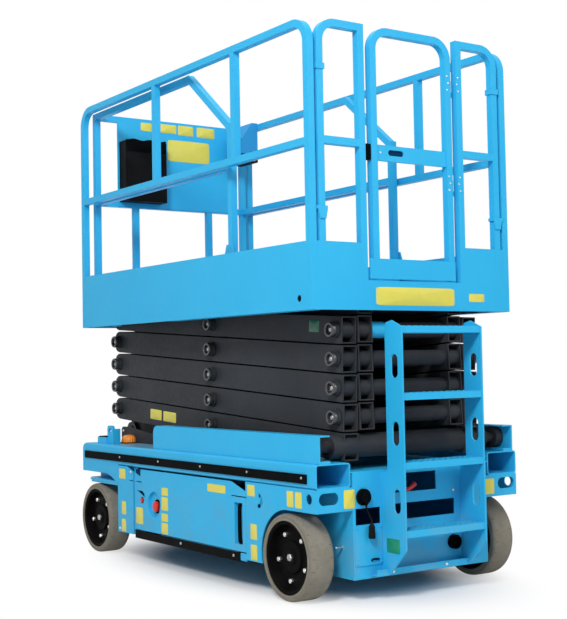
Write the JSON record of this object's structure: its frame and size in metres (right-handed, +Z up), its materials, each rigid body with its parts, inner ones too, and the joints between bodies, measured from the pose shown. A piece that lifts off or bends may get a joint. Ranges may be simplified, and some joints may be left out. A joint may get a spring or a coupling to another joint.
{
  "type": "scissor lift",
  "caption": "Electric slab scissor lift: wheeled chassis with swing-out trays, stack of crossed arms and a railed platform with gate and roll-out extension deck.",
  "frame": {"origin": "on the ground, under the middle of the machine's bounding box", "axes": "+X forward to the steered wheels, +Y to the machine's left, +Z up"},
  "size_m": [2.4566, 1.182, 2.525],
  "materials": {
    "sky_blue_paint": "semi-gloss",
    "black_plastic": "matt",
    "black_rubber": "matt",
    "grey_paint": "satin",
    "charcoal_paint": "satin",
    "chromed_rod": "polished",
    "bare_steel": "brushed",
    "orange_lens": "glossy",
    "grey_tyre": "matt",
    "black_paint": "satin"
  },
  "bodies": {
    "chassis": {"chassis": "sky_blue_paint", "slide_rails": "sky_blue_paint", "ladder": "sky_blue_paint", "rub_strips": "black_plastic", "beacon": "orange_lens", "inlet": "black_plastic", "inlet_lead": "black_rubber", "inlet_plug": "black_rubber"},
    "knuckle_l": {"knuckle_l": "charcoal_paint"},
    "knuckle_r": {"knuckle_r": "charcoal_paint"},
    "track_rod": {"track_rod": "bare_steel"},
    "tray_l": {"tray_l": "sky_blue_paint", "battery_pack": "black_plastic"},
    "tray_r": {"tray_r": "sky_blue_paint", "hydraulic_pack": "grey_paint"},
    "guard_l": {"guard_l": "black_paint"},
    "guard_r": {"guard_r": "black_paint"},
    "wheel_fl": {"tyre_fl": "grey_tyre", "rim_fl": "black_paint"},
    "wheel_fr": {"tyre_fr": "grey_tyre", "rim_fr": "black_paint"},
    "wheel_rl": {"tyre_rl": "grey_tyre", "rim_rl": "black_paint"},
    "wheel_rr": {"tyre_rr": "grey_tyre", "rim_rr": "black_paint"},
    "inner_1": {"inner_1": "charcoal_paint"},
    "outer_1": {"outer_1": "charcoal_paint"},
    "inner_2": {"inner_2": "charcoal_paint"},
    "outer_2": {"outer_2": "charcoal_paint"},
    "inner_3": {"inner_3": "charcoal_paint"},
    "outer_3": {"outer_3": "charcoal_paint"},
    "inner_4": {"inner_4": "charcoal_paint"},
    "outer_4": {"outer_4": "charcoal_paint"},
    "inner_5": {"inner_5": "charcoal_paint"},
    "outer_5": {"outer_5": "charcoal_paint"},
    "barrel_1": {"barrel_1": "charcoal_paint"},
    "rod_1": {"rod_1": "chromed_rod"},
    "barrel_2": {"barrel_2": "charcoal_paint"},
    "rod_2": {"rod_2": "chromed_rod"},
    "platform": {"platform": "sky_blue_paint", "side_rails": "sky_blue_paint", "rear_frames": "sky_blue_paint"},
    "gate": {"gate": "sky_blue_paint"},
    "extension": {"extension": "sky_blue_paint", "controls": "black_plastic"}
  },
  "joints": [
    {"name": "lift", "type": "hinge", "parent": "chassis", "child": "inner_1", "pos_m": [1.12075, 0, 0.666], "axis": [0, 1, 0], "range_deg": [0, 58.5]},
    {"name": "cross_1", "type": "hinge", "parent": "inner_1", "child": "outer_1", "pos_m": [0.07575, 0, 0.72975], "axis": [0, -1, 0], "range_deg": [0, 117]},
    {"name": "node_2", "type": "hinge", "parent": "outer_1", "child": "inner_2", "pos_m": [1.12075, 0, 0.7935], "axis": [0, 1, 0], "range_deg": [0, 117]},
    {"name": "cross_2", "type": "hinge", "parent": "inner_2", "child": "outer_2", "pos_m": [0.07575, 0, 0.85725], "axis": [0, -1, 0], "range_deg": [0, 117]},
    {"name": "node_3", "type": "hinge", "parent": "outer_2", "child": "inner_3", "pos_m": [1.12075, 0, 0.921], "axis": [0, 1, 0], "range_deg": [0, 117]},
    {"name": "cross_3", "type": "hinge", "parent": "inner_3", "child": "outer_3", "pos_m": [0.07575, 0, 0.98475], "axis": [0, -1, 0], "range_deg": [0, 117]},
    {"name": "node_4", "type": "hinge", "parent": "outer_3", "child": "inner_4", "pos_m": [1.12075, 0, 1.0485], "axis": [0, 1, 0], "range_deg": [0, 117]},
    {"name": "cross_4", "type": "hinge", "parent": "inner_4", "child": "outer_4", "pos_m": [0.07575, 0, 1.11225], "axis": [0, -1, 0], "range_deg": [0, 117]},
    {"name": "node_5", "type": "hinge", "parent": "outer_4", "child": "inner_5", "pos_m": [1.12075, 0, 1.176], "axis": [0, 1, 0], "range_deg": [0, 117]},
    {"name": "cross_5", "type": "hinge", "parent": "inner_5", "child": "outer_5", "pos_m": [0.07575, 0, 1.23975], "axis": [0, -1, 0], "range_deg": [0, 117]},
    {"name": "level", "type": "hinge", "parent": "outer_5", "child": "platform", "pos_m": [1.12075, 0, 1.3035], "axis": [0, 1, 0], "range_deg": [0, 58.5]},
    {"name": "cylinder_1", "type": "hinge", "parent": "inner_1", "child": "barrel_1", "pos_m": [-0.37341, 0, 0.75715], "axis": [0, -1, 0], "range_deg": [0, 122.12]},
    {"name": "piston_1", "type": "slide", "parent": "barrel_1", "child": "rod_1", "axis": [0.9967, 0, 0.0807], "range_m": [0, 0.2349]},
    {"name": "cylinder_2", "type": "hinge", "parent": "inner_3", "child": "barrel_2", "pos_m": [-0.37341, 0, 1.01215], "axis": [0, -1, 0], "range_deg": [0, 122.12]},
    {"name": "piston_2", "type": "slide", "parent": "barrel_2", "child": "rod_2", "axis": [0.9967, 0, 0.0807], "range_m": [0, 0.2349]},
    {"name": "drop_guard_l", "type": "hinge", "parent": "chassis", "child": "guard_l", "pos_m": [0.07575, 0.455, 0.148], "axis": [-1, 0, 0], "range_deg": [0, 50.01]},
    {"name": "drop_guard_r", "type": "hinge", "parent": "chassis", "child": "guard_r", "pos_m": [0.07575, -0.455, 0.148], "axis": [1, 0, 0], "range_deg": [0, 50.01]},
    {"name": "steer_l", "type": "hinge", "parent": "chassis", "child": "knuckle_l", "pos_m": [1.03775, 0.4325, 0.2], "axis": [0, 0, 1], "range_deg": [-70, 70]},
    {"name": "steer_r", "type": "hinge", "parent": "chassis", "child": "knuckle_r", "pos_m": [1.03775, -0.4325, 0.2], "axis": [0, 0, 1], "range_deg": [-70, 70]},
    {"name": "track", "type": "hinge", "parent": "knuckle_l", "child": "track_rod", "pos_m": [1.14275, 0.4325, 0.1], "axis": [0, 0, 1], "range_deg": [-70, 70]},
    {"name": "spin_fl", "type": "hinge", "parent": "knuckle_l", "child": "wheel_fl", "pos_m": [1.03775, 0.5275, 0.1905], "axis": [0, 1, 0], "continuous": true},
    {"name": "spin_fr", "type": "hinge", "parent": "knuckle_r", "child": "wheel_fr", "pos_m": [1.03775, -0.5275, 0.1905], "axis": [0, 1, 0], "continuous": true},
    {"name": "spin_rl", "type": "hinge", "parent": "chassis", "child": "wheel_rl", "pos_m": [-0.84525, 0.5275, 0.1905], "axis": [0, 1, 0], "continuous": true},
    {"name": "spin_rr", "type": "hinge", "parent": "chassis", "child": "wheel_rr", "pos_m": [-0.84525, -0.5275, 0.1905], "axis": [0, 1, 0], "continuous": true},
    {"name": "tray_swing_l", "type": "hinge", "parent": "chassis", "child": "tray_l", "pos_m": [0.57875, 0.568, 0.33], "axis": [0, 0, -1], "range_deg": [0, 80]},
    {"name": "tray_swing_r", "type": "hinge", "parent": "chassis", "child": "tray_r", "pos_m": [0.57875, -0.568, 0.33], "axis": [0, 0, 1], "range_deg": [0, 80]},
    {"name": "gate_swing", "type": "hinge", "parent": "platform", "child": "gate", "pos_m": [-1.02925, -0.255, 1.9], "axis": [0, 0, -1], "range_deg": [0, 90]},
    {"name": "roll_out", "type": "slide", "parent": "platform", "child": "extension", "axis": [1, 0, 0], "range_m": [0, 0.9]}
  ],
  "couplings": [
    {"joint": "cross_1", "follows": "lift", "ratio": 2},
    {"joint": "node_2", "follows": "lift", "ratio": 2},
    {"joint": "cross_2", "follows": "lift", "ratio": 2},
    {"joint": "node_3", "follows": "lift", "ratio": 2},
    {"joint": "cross_3", "follows": "lift", "ratio": 2},
    {"joint": "node_4", "follows": "lift", "ratio": 2},
    {"joint": "cross_4", "follows": "lift", "ratio": 2},
    {"joint": "node_5", "follows": "lift", "ratio": 2},
    {"joint": "cross_5", "follows": "lift", "ratio": 2},
    {"joint": "level", "follows": "lift", "ratio": 1},
    {"joint": "cylinder_1", "follows": "lift", "ratio": 2.0859},
    {"joint": "piston_1", "follows": "lift", "m_per_rad": 0.22954},
    {"joint": "cylinder_2", "follows": "lift", "ratio": 2.0859},
    {"joint": "piston_2", "follows": "lift", "m_per_rad": 0.22954},
    {"joint": "drop_guard_l", "follows": "lift", "ratio": 0.8547},
    {"joint": "drop_guard_r", "follows": "lift", "ratio": 0.8547},
    {"joint": "steer_r", "follows": "steer_l", "ratio": 1},
    {"joint": "track", "follows": "steer_l", "ratio": -1}
  ]
}
